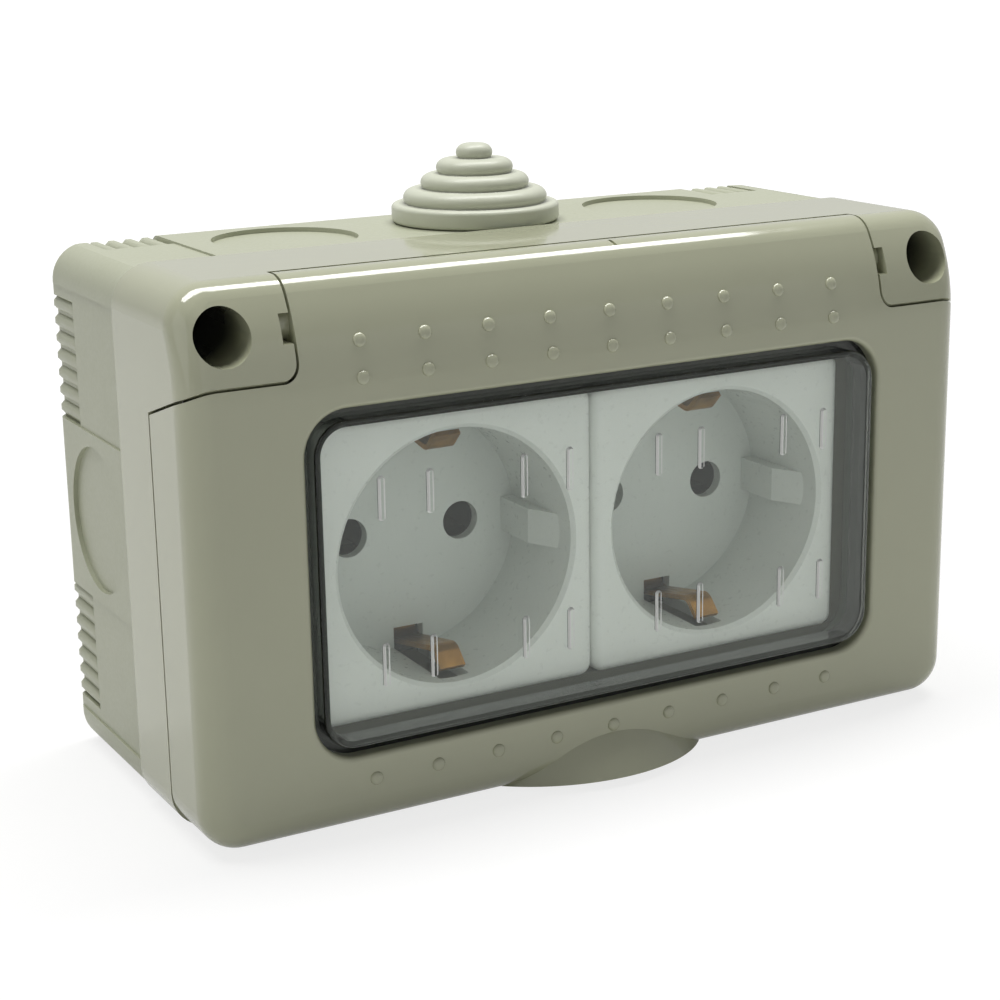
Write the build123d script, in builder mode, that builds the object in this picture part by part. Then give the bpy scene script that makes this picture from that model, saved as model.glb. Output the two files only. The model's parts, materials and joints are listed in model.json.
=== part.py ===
from build123d import *
import os
from math import asin, cos, radians, sin, sqrt

# Weatherproof two-gang outdoor socket, in millimetres. X runs across the front, Z runs up, and the
# wall face lies at Y = 0 with the front at negative Y. A station is a distance in front of the wall.

# Overall form
width = 131.6
height = 80.6
depth = 57.0
corner_radius = 6.0
edge_radius = 4.5
brow_radius = 26.0
brow_drop = 15.8
wall = 2.2
seat_gap = 0.1
run_gap = 0.4

# Back box
box_depth = 29.4
box_inset = 0.5
box_floor = 2.5
box_edge_radius = 2.5
side_relief = 0.3
side_relief_end = 6.3
top_relief_end = 4.3
side_panel = 26.5
top_relief_run = 13.0
flute_count = 7
top_flute_count = 4
flute_pitch = 2.7
flute_radius = 1.15
flute_depth = 0.75
flute_sides = 8
flute_start = 0.8
flute_end = 10.0
knockout_radius = 11.2
knockout_depth = 0.7
top_knockout_x = 33.0
entry_station = 16.0
wall_hole_radius = 2.5
wall_hole_inset = 15.8
wall_hole_z = 24.0

# Seal between box and frame
seal_thickness = 0.6
seal_width = 1.6

# Front frame
plate_setback = 7.5
plate_thickness = 2.5
skirt_depth = 14.0
upper_screw_inset = 6.4
upper_screw_drop = 6.8
lower_screw_inset = 7.8
lower_screw_rise = 8.8
well_radius = 4.0
well_wall = 1.2
well_floor_rise = 3.5
well_floor_thickness = 3.2

# Cover screws
screw_radius = 1.9
screw_head_radius = 3.5
screw_head_height = 2.4
screw_length = 22.0
screw_slot = 1.0
post_radius = 4.5

# Hinge
hinge_setback = 5.5
hinge_drop = 6.55
shoulder_radius = 8.6
shoulder_slope = 18.0
block_width = 16.2
block_corner = 2.0
flap_back_radius = 7.25
stub_radius = 2.2
stub_length = 1.8
stub_clearance = 0.05
stub_slot_height = 4.0

# Flap
flap_lift = 0.6
opening_side = 3.3
opening_rise = 2.85
opening_corner = 6.5
opening_rim = 0.8
window_rise = 0.3
dot_pitch = 10.0
dot_columns = 9
upper_dot_drops = (9.0, 14.1)
lower_dot_rise = 8.0
dot_radius = 0.95
dot_sides = 8
dot_taper = 35.0
dot_height = 0.5
dot_root = 0.2
lip_width = 38.0
lip_rise = 6.2
lip_reach = 5.0
lip_lift = 0.8
slit_x = 4.0
slit_width = 0.5
slit_length = 4.0

# Window
pane_side = 1.2
pane_rise = 1.5
pane_corner = 5.0
pane_thickness = 1.0
pane_edge = 0.6
pane_proud = 0.4
flange_margin = 1.5
flange_thickness = 1.6
rib_length = 6.5
rib_width = 1.2
rib_chamfer = 0.35
rib_proud = 0.4
rib_taper = 30.0
rib_pitch = 7.6
rib_rise = 12.2

# Flap seal
flap_seal_width = 2.2
flap_seal_gap = 0.3

# Socket inserts
socket_z = -3.5
module_width = 45.6
module_height = 45.0
module_corner = 2.0
module_edge = 1.5
module_setback = 6.0
module_rim = 6.0
module_wall = 2.2
lug_width = 16.0
lug_reach = 1.8
lug_thickness = 2.0
recess_radius = 19.25
recess_depth = 17.5
recess_draft = 1.0
mouth_edge = 0.6
mouth_slope = 45.0
cup_wall = 1.6
cup_floor = 1.8
guide_width = 5.4
guide_height = 2.6
guide_setback = 2.0
guide_slope = 7.0
pin_pitch = 19.0
pin_hole_radius = 3.0
clip_slot_width = 5.0
clip_slot_length = 15.0
clip_slot_depth = 4.6

# Inside each insert
base_size = 41.0
base_corner = 4.0
base_depth = 17.6
strap_thickness = 0.8
strap_width = 4.2
strap_clearance = 0.4
strap_bend = 2.0
clip_root = 1.25
clip_reach = 3.9
clip_nose = 2.6
clip_tip = 0.6
pin_radius = 2.4
contact_thickness = 1.0
leaf_width = 6.0
leaf_setback = 0.6
leaf_mouth = 2.5
leaf_flare = 0.8
tab_width = 8.0
tab_length = 14.6
tab_setback = 1.0
terminal_offset = 16.5
terminal_head_radius = 3.0
terminal_head_height = 2.2
terminal_radius = 1.7
terminal_length = 4.6
earth_terminal_z = -11.5
terminal_clearance = 0.1

# Cable grommet
entry_radius = 10.0
flange_radius = 13.3
tier_radii = (11.4, 8.6, 6.1)
tip_radius = 2.8
grommet_flange = 2.9
tier_height = 2.3
tip_height = 2.3
grommet_wall = 1.5
collar_radius = 11.2
collar_height = 1.8
grommet_rim = 0.8
bead_steps = ((0.0, 0.0), (0.0, 0.5), (0.7, 1.0))

# Places that follow from the sizes above
top = height / 2
frame_back = box_depth + seal_thickness
well_floor_station = frame_back + well_floor_rise
ledge_station = depth - skirt_depth - run_gap
plate_station = depth - plate_setback
plate_back = plate_station - plate_thickness
brow_start = top - brow_drop
hinge_station = depth - hinge_setback
hinge_z = top - hinge_drop
block_inner = width / 2 - block_width
gutter_radius = flap_back_radius + run_gap
neck_inset = wall + run_gap
upper_well = (width / 2 - upper_screw_inset, top - upper_screw_drop)
lower_well = (width / 2 - lower_screw_inset, lower_screw_rise - top)
well_places = [(side * x, z) for side in (-1, 1) for x, z in (upper_well, lower_well)]
cup_radius = recess_radius + cup_wall
socket_pitch = max(module_width, 2 * cup_radius) + 2 * seat_gap
opening_width = socket_pitch + module_width + 2 * opening_side
opening_height = module_height + 2 * opening_rise
window_z = socket_z + window_rise
pane_width = opening_width - 2 * pane_side
pane_height = opening_height - 2 * pane_rise

hinge_point = (0, -hinge_station, hinge_z)
hinge_axis = Axis(hinge_point, (-1, 0, 0))
slope = radians(shoulder_slope)
shoulder_plane = Plane(origin=hinge_point, x_dir=(1, 0, 0), z_dir=(0, cos(slope), -sin(slope)))


def station(distance):
    """Plane parallel to the wall, with X across, Z up and its normal towards the front."""
    return Plane.XZ.offset(distance)


def cover_form(inset, lift=0.0):
    """Front cover as a closed form: the outline, an upper front that leans back on a large arc,
    and one roll of constant radius all round the front."""
    with BuildPart() as form:
        with BuildSketch(station(frame_back)):
            with Locations((0, lift / 2)):
                RectangleRounded(width - 2 * inset, height - 2 * inset - lift, corner_radius - inset)
        extrude(amount=depth - inset - frame_back)
        with BuildSketch(Plane.YZ):
            with Locations((brow_radius - depth, brow_start)):
                Rectangle(2 * brow_radius, brow_radius, align=(Align.MAX, Align.MIN))
                Circle(brow_radius - inset, mode=Mode.SUBTRACT)
        extrude(amount=width, both=True, mode=Mode.SUBTRACT)
        face = form.faces().sort_by(Axis.Y)[0]
        round_faces = form.faces().filter_by(GeomType.CYLINDER)
        brow = round_faces.filter_by(lambda f: abs(f.radius - brow_radius + inset) < 0.01)
        edges = face.edges() + brow.edges()
        fillet(edges.filter_by(lambda e: abs(e.center().Z - brow_start) > 0.01), radius=edge_radius - inset)
    return form.part


def block_space(clearance):
    """Room of the two corner blocks: round the hinge axis in front, then down the slope to the back."""
    inner = block_inner - clearance
    reach = shoulder_radius + clearance
    span = width / 2 - inner + edge_radius
    with BuildPart() as space:
        with BuildSketch(shoulder_plane) as behind:
            with Locations((inner, reach)):
                Rectangle(span, height, align=(Align.MIN, Align.MAX))
            corner = behind.vertices().group_by(Axis.X)[0].sort_by(Axis.Y)[-1]
            fillet(corner, radius=block_corner + clearance)
        extrude(amount=depth)
        with BuildSketch(shoulder_plane) as ahead:
            with Locations((inner, reach)):
                Rectangle(span, reach, align=(Align.MIN, Align.MAX))
            corner = ahead.vertices().group_by(Axis.X)[0].sort_by(Axis.Y)[-1]
            fillet(corner, radius=block_corner + clearance)
        revolve(axis=hinge_axis, revolution_arc=180)
        mirror(about=Plane.YZ)
    return space.part


def finish(piece, name):
    """Label a finished piece and write it to its own file."""
    piece.label = name
    export_step(piece, f"parts/{name}.step")


os.makedirs("parts", exist_ok=True)

cover = cover_form(0)
blocks = block_space(0)

# Back box: a rounded tray with relieved sides, raised middle panels, grip flutes and knock-outs. Its sides
# and top stand back from the frame, and its bottom is level with it.
box_half_width = width / 2 - box_inset
box_top = top - box_inset
box_height = height - box_inset
box_z = -box_inset / 2
box_levels = ((-1, -top), (1, box_top))
relief_height = height - 2 * side_relief_end
relief_width = width - 2 * top_relief_end
top_panel = relief_width - 2 * top_relief_run
side_steps = [side_panel / 2 + flute_pitch * (i + 0.5) for i in range(flute_count)]
top_steps = [top_panel / 2 + flute_pitch * (i + 0.5) for i in range(top_flute_count)]
side_flutes = flute_count * flute_pitch
top_flutes = top_flute_count * flute_pitch
crest = side_relief + flute_radius
groove = side_relief + flute_depth
wall_hole_x = width / 2 - wall_hole_inset

with BuildPart() as back_box:
    with BuildSketch(station(0)):
        with Locations((0, box_z)):
            RectangleRounded(2 * box_half_width, box_height, corner_radius - box_inset)
    extrude(amount=box_depth)
    fillet(back_box.faces().sort_by(Axis.Y)[-1].edges(), radius=box_edge_radius)
    with BuildSketch(station(0)):
        for end in (-1, 1):
            for side in (-1, 1):
                with Locations((side * box_half_width, end * (side_panel + relief_height) / 4)):
                    Rectangle(2 * side_relief, (relief_height - side_panel) / 2)
            for side, level in box_levels:
                with Locations((end * (top_panel + relief_width) / 4, level)):
                    Rectangle((relief_width - top_panel) / 2, 2 * side_relief)
    extrude(amount=box_depth, mode=Mode.SUBTRACT)
    with BuildSketch(station(0)):
        for end in (-1, 1):
            for side in (-1, 1):
                with Locations((side * box_half_width, end * (side_panel + side_flutes) / 2)):
                    Rectangle(2 * groove, side_flutes)
            for side, level in box_levels:
                with Locations((end * (top_panel + top_flutes) / 2, level)):
                    Rectangle(top_flutes, 2 * groove)
    extrude(amount=flute_end, mode=Mode.SUBTRACT)
    with BuildSketch(station(flute_start)):
        for end in (-1, 1):
            for side in (-1, 1):
                with Locations(*[(side * (box_half_width - crest), end * z) for z in side_steps]):
                    RegularPolygon(flute_radius, flute_sides, rotation=180 / flute_sides)
            for side, level in box_levels:
                with Locations(*[(end * x, level - side * crest) for x in top_steps]):
                    RegularPolygon(flute_radius, flute_sides, rotation=180 / flute_sides)
    extrude(amount=flute_end - flute_start)
    with BuildSketch(station(box_floor)):
        with Locations((0, box_z)):
            RectangleRounded(2 * (box_half_width - wall), box_height - 2 * wall, corner_radius - wall)
    extrude(amount=box_depth, mode=Mode.SUBTRACT)
    with BuildSketch(station(0)):
        with Locations(*well_places):
            Circle(post_radius)
    extrude(amount=box_depth)
    with BuildSketch(station(box_floor)):
        with Locations(*well_places):
            Circle(screw_radius + seat_gap)
    extrude(amount=box_depth, mode=Mode.SUBTRACT)
    with BuildSketch(station(0)):
        with GridLocations(2 * wall_hole_x, 2 * wall_hole_z, 2, 2):
            Circle(wall_hole_radius)
    extrude(amount=box_floor, mode=Mode.SUBTRACT)
    for side, level in box_levels:
        with BuildSketch(Plane.XY.offset(level)):
            with GridLocations(2 * top_knockout_x, 0, 2, 1):
                with Locations((0, -entry_station)):
                    Circle(knockout_radius)
        extrude(amount=-side * knockout_depth, mode=Mode.SUBTRACT)
    for side in (-1, 1):
        with BuildSketch(Plane.YZ.offset(side * box_half_width)):
            with Locations((-entry_station, 0)):
                Circle(knockout_radius)
        extrude(amount=-side * knockout_depth, mode=Mode.SUBTRACT)
    with BuildSketch(Plane.XY.offset(-top)):
        with Locations((0, -entry_station)):
            Circle(knockout_radius)
    extrude(amount=knockout_depth, mode=Mode.SUBTRACT)
    with BuildSketch(Plane.XY.offset(box_top)):
        with Locations((0, -entry_station)):
            Circle(entry_radius)
    extrude(amount=-2 * wall, mode=Mode.SUBTRACT)
finish(back_box.part, "back_box")

# Soft ring pressed between the rims of box and frame
with BuildPart() as box_seal:
    with BuildSketch(station(box_depth)):
        inset = 2 * box_inset
        RectangleRounded(width - 2 * inset, height - 2 * inset, corner_radius - inset)
        inset = inset + seal_width
        RectangleRounded(width - 2 * inset, height - 2 * inset, corner_radius - inset, mode=Mode.SUBTRACT)
    extrude(amount=seal_thickness)
finish(box_seal.part, "box_seal")

# Front frame: outer ring, neck under the flap, corner blocks, hinge gutter and the plate round the inserts
with BuildPart() as frame_room:
    with BuildSketch(station(frame_back)):
        RectangleRounded(width - 2 * wall, height - 2 * wall, corner_radius - wall)
    extrude(amount=ledge_station - wall - frame_back)
    with BuildSketch(station(frame_back)):
        room_inset = neck_inset + wall
        room_height = height - room_inset - wall - flap_lift
        with Locations((0, (flap_lift + room_inset - wall) / 2)):
            RectangleRounded(width - 2 * room_inset, room_height, corner_radius - room_inset)
    extrude(amount=plate_back - frame_back)
    with BuildSketch(Plane.YZ):
        with Locations((-hinge_station, hinge_z)):
            Circle(gutter_radius + wall)
    extrude(amount=block_inner + wall, both=True, mode=Mode.SUBTRACT)
    with BuildSketch(station(well_floor_station - well_floor_thickness)):
        with Locations(*well_places):
            Circle(well_radius + well_wall)
    extrude(amount=depth, mode=Mode.SUBTRACT)

with BuildPart() as front_blocks:
    add(cover)
    add(blocks, mode=Mode.INTERSECT)

with BuildPart() as front_frame:
    with BuildSketch(station(frame_back)):
        RectangleRounded(width, height, corner_radius)
    extrude(amount=ledge_station - frame_back)
    with BuildSketch(station(frame_back)):
        neck_height = height - neck_inset - flap_lift
        with Locations((0, (flap_lift + neck_inset) / 2)):
            RectangleRounded(width - 2 * neck_inset, neck_height, corner_radius - neck_inset)
    extrude(amount=plate_station - frame_back)
    add(front_blocks.part)
    add(frame_room.part, mode=Mode.SUBTRACT)
    with BuildSketch(Plane.YZ):
        with Locations((-hinge_station, hinge_z)):
            Circle(gutter_radius)
    extrude(amount=block_inner, both=True, mode=Mode.SUBTRACT)
    with BuildSketch(station(plate_back)):
        with Locations((0, socket_z)):
            Rectangle(socket_pitch + module_width + 2 * seat_gap, module_height + 2 * seat_gap)
    extrude(amount=plate_thickness, mode=Mode.SUBTRACT)
    with BuildSketch(station(well_floor_station)):
        with Locations(*well_places):
            Circle(well_radius)
    extrude(amount=depth, mode=Mode.SUBTRACT)
    with BuildSketch(station(frame_back)):
        with Locations(*well_places):
            Circle(screw_radius + seat_gap)
    extrude(amount=depth, mode=Mode.SUBTRACT)
    for side in (-1, 1):
        with BuildSketch(Plane.YZ.offset(side * block_inner)):
            with Locations((-hinge_station, hinge_z)):
                Circle(stub_radius + stub_clearance)
                Rectangle(hinge_setback, stub_slot_height, align=(Align.MAX, Align.CENTER))
        extrude(amount=side * (stub_length - run_gap + seat_gap), mode=Mode.SUBTRACT)
finish(front_frame.part, "front_frame")

# Four long pan-head screws from the wells into the posts of the box
with BuildPart() as cover_screws:
    with BuildSketch(station(well_floor_station + seat_gap)):
        with Locations(*well_places):
            Circle(screw_head_radius)
    extrude(amount=screw_head_height)
    with BuildSketch(station(well_floor_station + seat_gap)):
        with Locations(*well_places):
            Circle(screw_radius)
    extrude(amount=-screw_length)
    with BuildSketch(station(well_floor_station + screw_head_height / 2)):
        with Locations(*well_places):
            Rectangle(2 * screw_head_radius, screw_slot)
    extrude(amount=screw_head_height, mode=Mode.SUBTRACT)
finish(cover_screws.part, "cover_screws")

# Flap: a thin shell whose shoulders run round the hinge axis, with moulded stubs, dots and lift lip
flap_bottom = flap_lift - top
flap_outer = cover_form(0, flap_lift)
flap_room = cover_form(wall, flap_lift)
flap_relief = block_space(run_gap)
shoulder_walls = block_space(run_gap + wall)
skirt_back = depth - skirt_depth
flap_end = block_inner - run_gap

# The lip is a slice of a sphere through its top on the face, its front edge and its two ends
lip_end = edge_radius
front_term = (lip_reach ** 2 + lip_lift ** 2 - lip_rise ** 2) / 2
end_term = ((lip_width / 2) ** 2 + lip_end ** 2 - lip_rise ** 2) / 2
climb = lip_rise - lip_lift
lip_centre_y = (end_term / lip_rise - front_term / climb) / (lip_reach / climb + lip_end / lip_rise)
lip_centre_z = -(front_term + lip_reach * lip_centre_y) / climb
lip_sphere = sqrt(lip_centre_y ** 2 + (lip_rise - lip_centre_z) ** 2)
lip_back = lip_end - depth
lip_far = lip_back - lip_end - 2 * lip_reach
lip_far_z = flap_bottom + lip_lift * (lip_back - lip_far) / (lip_end + lip_reach)

with BuildPart() as lip:
    with Locations((0, lip_centre_y - depth, flap_bottom + lip_centre_z)):
        Sphere(lip_sphere)
    with BuildSketch(Plane.YZ):
        with BuildLine():
            Polyline((lip_back, flap_bottom), (lip_far, lip_far_z), (lip_far, window_z), (lip_back, window_z),
                     close=True)
        make_face()
    extrude(amount=lip_width, both=True, mode=Mode.INTERSECT)

with BuildPart() as shoulders:
    add(flap_outer)
    add(shoulder_walls, mode=Mode.INTERSECT)
    with BuildSketch(station(plate_station + run_gap)):
        Rectangle(width, height)
    extrude(amount=depth, mode=Mode.INTERSECT)

with BuildPart() as flap:
    with BuildSketch(station(skirt_back)):
        Rectangle(width, height)
    extrude(amount=skirt_depth)
    add(flap_outer, mode=Mode.INTERSECT)
    add(lip.part)
    add(flap_room, mode=Mode.SUBTRACT)
    add(shoulders.part)
    add(flap_relief, mode=Mode.SUBTRACT)
    with BuildSketch(Plane.YZ):
        with Locations((-hinge_station, hinge_z)):
            Rectangle(depth, hinge_drop + wall, align=(Align.MIN, Align.MIN))
            Circle(flap_back_radius, mode=Mode.SUBTRACT)
    extrude(amount=width, both=True, mode=Mode.SUBTRACT)
    for side in (-1, 1):
        with BuildSketch(Plane.YZ.offset(side * (flap_end - wall))):
            with Locations((-hinge_station, hinge_z)):
                Circle(stub_radius)
        extrude(amount=side * (wall + stub_length))
    with BuildSketch(station(depth - 2 * wall)):
        with Locations((0, window_z)):
            RectangleRounded(opening_width, opening_height, opening_corner)
    extrude(amount=depth, mode=Mode.SUBTRACT)
    rim = flap.edges().filter_by_position(Axis.Y, -depth - 0.01, -depth + 0.01)
    rim = rim.filter_by_position(Axis.X, -opening_width / 2 - 0.01, opening_width / 2 + 0.01)
    reach = opening_height / 2 + 0.01
    rim = rim.filter_by_position(Axis.Z, window_z - reach, window_z + reach)
    fillet(rim, radius=opening_rim)
    for z in [top - drop for drop in upper_dot_drops] + [lower_dot_rise - top]:
        lean = asin(max(z - brow_start, 0) / brow_radius)
        sunk = brow_radius - dot_root
        root = Plane(origin=(0, brow_radius - depth - sunk * cos(lean), z - dot_root * sin(lean)),
                     x_dir=(1, 0, 0), z_dir=(0, -cos(lean), sin(lean)))
        with BuildSketch(root):
            with GridLocations(dot_pitch, 0, dot_columns, 1):
                RegularPolygon(dot_radius, dot_sides)
        extrude(amount=dot_height + dot_root, taper=dot_taper)
    with Locations((slit_x, -hinge_station, top)):
        Box(slit_width, slit_length, wall / 2, mode=Mode.SUBTRACT)
finish(flap.part, "flap")

# Smoked window: a raised pane on a flange that seats behind the front wall of the flap
flange_front = depth - wall - seat_gap
flange_back = flange_front - flange_thickness
flange_grow = 2 * flange_margin
flange_relief = block_space(run_gap + wall + seat_gap)

with BuildPart() as flap_window:
    with BuildSketch(station(flange_back)):
        with Locations((0, window_z)):
            RectangleRounded(opening_width + flange_grow, opening_height + flange_grow,
                             opening_corner + flange_margin)
    extrude(amount=flange_thickness)
    with BuildSketch(station(flange_back)):
        with Locations((0, window_z)):
            RectangleRounded(pane_width, pane_height, pane_corner)
    extrude(amount=depth + pane_proud - flange_back)
    fillet(flap_window.faces().sort_by(Axis.Y)[0].edges(), radius=pane_edge)
    with BuildSketch(station(flange_back)):
        with Locations((0, window_z)):
            RectangleRounded(pane_width - 2 * pane_thickness, pane_height - 2 * pane_thickness,
                             pane_corner - pane_thickness)
    extrude(amount=depth + pane_proud - pane_thickness - flange_back, mode=Mode.SUBTRACT)
    with BuildSketch(station(depth + pane_proud)) as ribs:
        for x in (-socket_pitch / 2, socket_pitch / 2):
            with Locations(*[(x + step * rib_pitch, window_z) for step in (-2, -1, 1, 2)]):
                with Locations((0, -rib_rise), (0, rib_rise)):
                    Rectangle(rib_width, rib_length)
        chamfer(ribs.vertices(), length=rib_chamfer)
    extrude(amount=rib_proud, taper=rib_taper)
    add(flange_relief, mode=Mode.SUBTRACT)
finish(flap_window.part, "flap_window")

# Soft ring on the back of the window flange, facing the plate round the inserts
with BuildPart() as flap_seal:
    with BuildSketch(station(plate_station + flap_seal_gap)):
        with Locations((0, window_z)):
            for trim, mode in ((seat_gap, Mode.ADD), (seat_gap + flap_seal_width, Mode.SUBTRACT)):
                grow = flange_margin - trim
                RectangleRounded(opening_width + 2 * grow, opening_height + 2 * grow, opening_corner + grow,
                                 mode=mode)
    extrude(amount=flange_back - seat_gap - plate_station - flap_seal_gap)
    add(flange_relief, mode=Mode.SUBTRACT)
finish(flap_seal.part, "flap_seal")

# Stepped rubber grommet that snaps into the entry hole in the top of the box
grommet_plane = Plane(origin=(0, -entry_station, box_top), x_dir=(1, 0, 0), z_dir=(0, -1, 0))
neck_bottom = -wall - 2 * seat_gap
neck_radius = entry_radius - seat_gap
bore = neck_radius - grommet_wall
mouth = neck_bottom - collar_height
first_tier = seat_gap + grommet_flange
last_tier = first_tier + len(tier_radii) * tier_height
crown = last_tier - grommet_wall
rim_inner = flange_radius - grommet_rim
beads = [(radius, first_tier + i * tier_height, tier_height) for i, radius in enumerate(tier_radii)]
beads += [(tip_radius, last_tier, tip_height)]

outline = [(bore, mouth), (collar_radius, mouth), (collar_radius, neck_bottom), (neck_radius, neck_bottom)]
outline += [(neck_radius, seat_gap), (rim_inner, seat_gap), (flange_radius, seat_gap + grommet_rim)]
outline += [(flange_radius, first_tier - grommet_rim), (rim_inner, first_tier)]
for radius, foot, rise in beads:
    outline += [(radius - inward * rise, foot + upward * rise) for inward, upward in bead_steps]
outline += [(0, last_tier + tip_height), (0, crown), (tip_radius, crown), (bore, seat_gap)]

with BuildPart() as cable_grommet:
    with BuildSketch(grommet_plane):
        with BuildLine():
            Polyline(*outline, close=True)
        make_face()
    revolve(axis=Axis((0, -entry_station, 0), (0, 0, 1)))
finish(cable_grommet.part, "cable_grommet")

# One socket insert, modelled on the middle plane and then set in both places
face_station = depth - module_setback
rim_back = face_station - module_rim
recess_floor = face_station - recess_depth
cup_back = recess_floor - cup_floor
lug_station = plate_back - seat_gap
pin_places = [(-pin_pitch / 2, socket_z), (pin_pitch / 2, socket_z)]
guide_root = recess_radius + cup_wall / 2
guide_top = recess_radius - guide_height
guide_foot = recess_floor - cup_floor / 2
guide_front = face_station - guide_setback
guide_form = [(guide_root, guide_foot), (guide_top, guide_foot), (guide_top, guide_front - guide_slope),
              (guide_root, guide_front)]

with BuildPart() as socket_face:
    with BuildSketch(station(rim_back)):
        with Locations((0, socket_z)):
            RectangleRounded(module_width, module_height, module_corner)
    extrude(amount=module_rim)
    fillet(socket_face.faces().sort_by(Axis.Y)[0].edges(), radius=module_edge)
    with BuildSketch(station(rim_back)):
        with Locations((0, socket_z)):
            Rectangle(module_width - 2 * module_wall, module_height - 2 * module_wall)
    extrude(amount=module_rim - module_wall, mode=Mode.SUBTRACT)
    with BuildSketch(station(lug_station)):
        for end in (-1, 1):
            with Locations((0, socket_z + end * (module_height + lug_reach - module_wall) / 2)):
                Rectangle(lug_width, lug_reach + module_wall)
    extrude(amount=-lug_thickness)
    with BuildSketch(station(cup_back)):
        with Locations((0, socket_z)):
            Circle(cup_radius)
    extrude(amount=face_station - module_wall - cup_back)
    with BuildSketch(station(face_station)):
        with Locations((0, socket_z)):
            Circle(recess_radius)
    extrude(amount=-recess_depth, taper=recess_draft, mode=Mode.SUBTRACT)
    with BuildSketch(station(face_station)):
        with Locations((0, socket_z)):
            Circle(recess_radius + mouth_edge)
    extrude(amount=-mouth_edge, taper=mouth_slope, mode=Mode.SUBTRACT)
    with BuildSketch(Plane.XY.offset(socket_z)):
        for side in (-1, 1):
            with BuildLine():
                Polyline(*[(side * x, -y) for x, y in guide_form], close=True)
            make_face()
    extrude(amount=guide_width / 2, both=True)
    with BuildSketch(station(cup_back)):
        with Locations(*pin_places):
            Circle(pin_hole_radius)
    extrude(amount=2 * cup_floor, mode=Mode.SUBTRACT)
    with BuildSketch(station(cup_back)):
        for end in (-1, 1):
            with Locations((0, socket_z + end * (cup_radius - clip_slot_depth / 2))):
                Rectangle(clip_slot_width, cup_wall + clip_slot_depth)
    extrude(amount=cup_floor + clip_slot_length, mode=Mode.SUBTRACT)

# Earth strap: one bent strip across the back of the cup, whose ends pass through the floor slots and rise
# into the recess as sprung clips
strap_station = cup_back - seat_gap - strap_thickness / 2
root_z = recess_radius - clip_root
tip_station = recess_floor + clip_slot_length - clip_tip
half_strap = [(-strap_station, root_z), (clip_nose - tip_station, recess_radius - clip_reach),
              (-tip_station, root_z)]
strap_path = [(y, socket_z - z) for y, z in reversed(half_strap)]
strap_path += [(y, socket_z + z) for y, z in half_strap]

with BuildPart() as earth_strap:
    with BuildSketch(Plane.YZ):
        with BuildLine():
            FilletPolyline(*strap_path, radius=strap_bend)
        trace(line_width=strap_thickness)
    extrude(amount=strap_width / 2, both=True)
    with BuildSketch(station(strap_station)):
        with Locations((0, socket_z + earth_terminal_z)):
            Circle(terminal_radius + terminal_clearance)
    extrude(amount=strap_thickness, both=True, mode=Mode.SUBTRACT)

# Insulating base behind the cup, with a chamber for each contact and the earth terminal
base_front = cup_back - seat_gap
base_back = base_front - base_depth
tab_front = base_back + tab_setback + contact_thickness
tab_middle = pin_pitch / 2 + (tab_length - leaf_width) / 2
leaf_centre = pin_radius + contact_thickness / 2
chamber_height = 2 * (leaf_centre + leaf_flare + contact_thickness)

with BuildPart() as socket_base:
    with BuildSketch(station(base_back)):
        with Locations((0, socket_z)):
            RectangleRounded(base_size, base_size, base_corner)
    extrude(amount=base_depth)
    with BuildSketch(station(base_front)):
        with Locations((0, socket_z)):
            Rectangle(strap_width + 2 * strap_clearance, 2 * base_size)
    extrude(amount=-strap_thickness - seat_gap, mode=Mode.SUBTRACT)
    with BuildSketch(station(base_back)):
        with Locations(*pin_places):
            Rectangle(leaf_width + 2 * strap_clearance, chamber_height)
        with Locations((0, socket_z + earth_terminal_z)):
            Circle(terminal_head_radius + strap_clearance)
    extrude(amount=base_depth, mode=Mode.SUBTRACT)
    with BuildSketch(station(base_back)):
        for side in (-1, 1):
            with Locations((side * tab_middle, socket_z)):
                Rectangle(tab_length + 2 * strap_clearance, tab_width + 2 * strap_clearance)
    extrude(amount=tab_setback + contact_thickness + terminal_length, mode=Mode.SUBTRACT)

# Pin contact: one folded brass strip, with two leaves that grip the pin and a flat tab for the wire
leaf_front = base_front - leaf_setback
tab_station = tab_front - contact_thickness / 2
leaf = [(-leaf_front, leaf_centre + leaf_flare), (leaf_mouth - leaf_front, leaf_centre),
        (-tab_station, leaf_centre)]
leaf_path = [(y, socket_z + z) for y, z in leaf] + [(y, socket_z - z) for y, z in reversed(leaf)]

with BuildPart() as line_contact:
    with BuildSketch(Plane.YZ.offset(-pin_pitch / 2)):
        with BuildLine():
            Polyline(*leaf_path)
        trace(line_width=contact_thickness)
    extrude(amount=leaf_width / 2, both=True)
    with BuildSketch(station(tab_front)):
        with Locations((-tab_middle, socket_z)):
            Rectangle(tab_length, tab_width)
        with Locations((-terminal_offset, socket_z)):
            Circle(terminal_radius + terminal_clearance, mode=Mode.SUBTRACT)
    extrude(amount=-contact_thickness)

with BuildPart() as neutral_contact:
    add(line_contact.part)
    mirror(about=Plane.YZ, mode=Mode.REPLACE)

# Terminal screws: one on each contact tab and one on the earth strap, heads to the back
tab_back = tab_front - contact_thickness
strap_back = strap_station - strap_thickness / 2
terminals = [(side * terminal_offset, 0, tab_back, terminal_length) for side in (-1, 1)]
terminals += [(0, earth_terminal_z, strap_back, strap_thickness)]

with BuildPart() as terminal_screws:
    for x, z, seat, reach in terminals:
        with BuildSketch(station(seat - seat_gap)):
            with Locations((x, socket_z + z)):
                Circle(terminal_head_radius)
        extrude(amount=-terminal_head_height)
        with BuildSketch(station(seat - seat_gap)):
            with Locations((x, socket_z + z)):
                Circle(terminal_radius)
        extrude(amount=reach)
        with BuildSketch(station(seat - seat_gap - terminal_head_height)):
            with Locations((x, socket_z + z)):
                Rectangle(2 * terminal_head_radius, screw_slot)
        extrude(amount=terminal_head_height / 2, mode=Mode.SUBTRACT)

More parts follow.
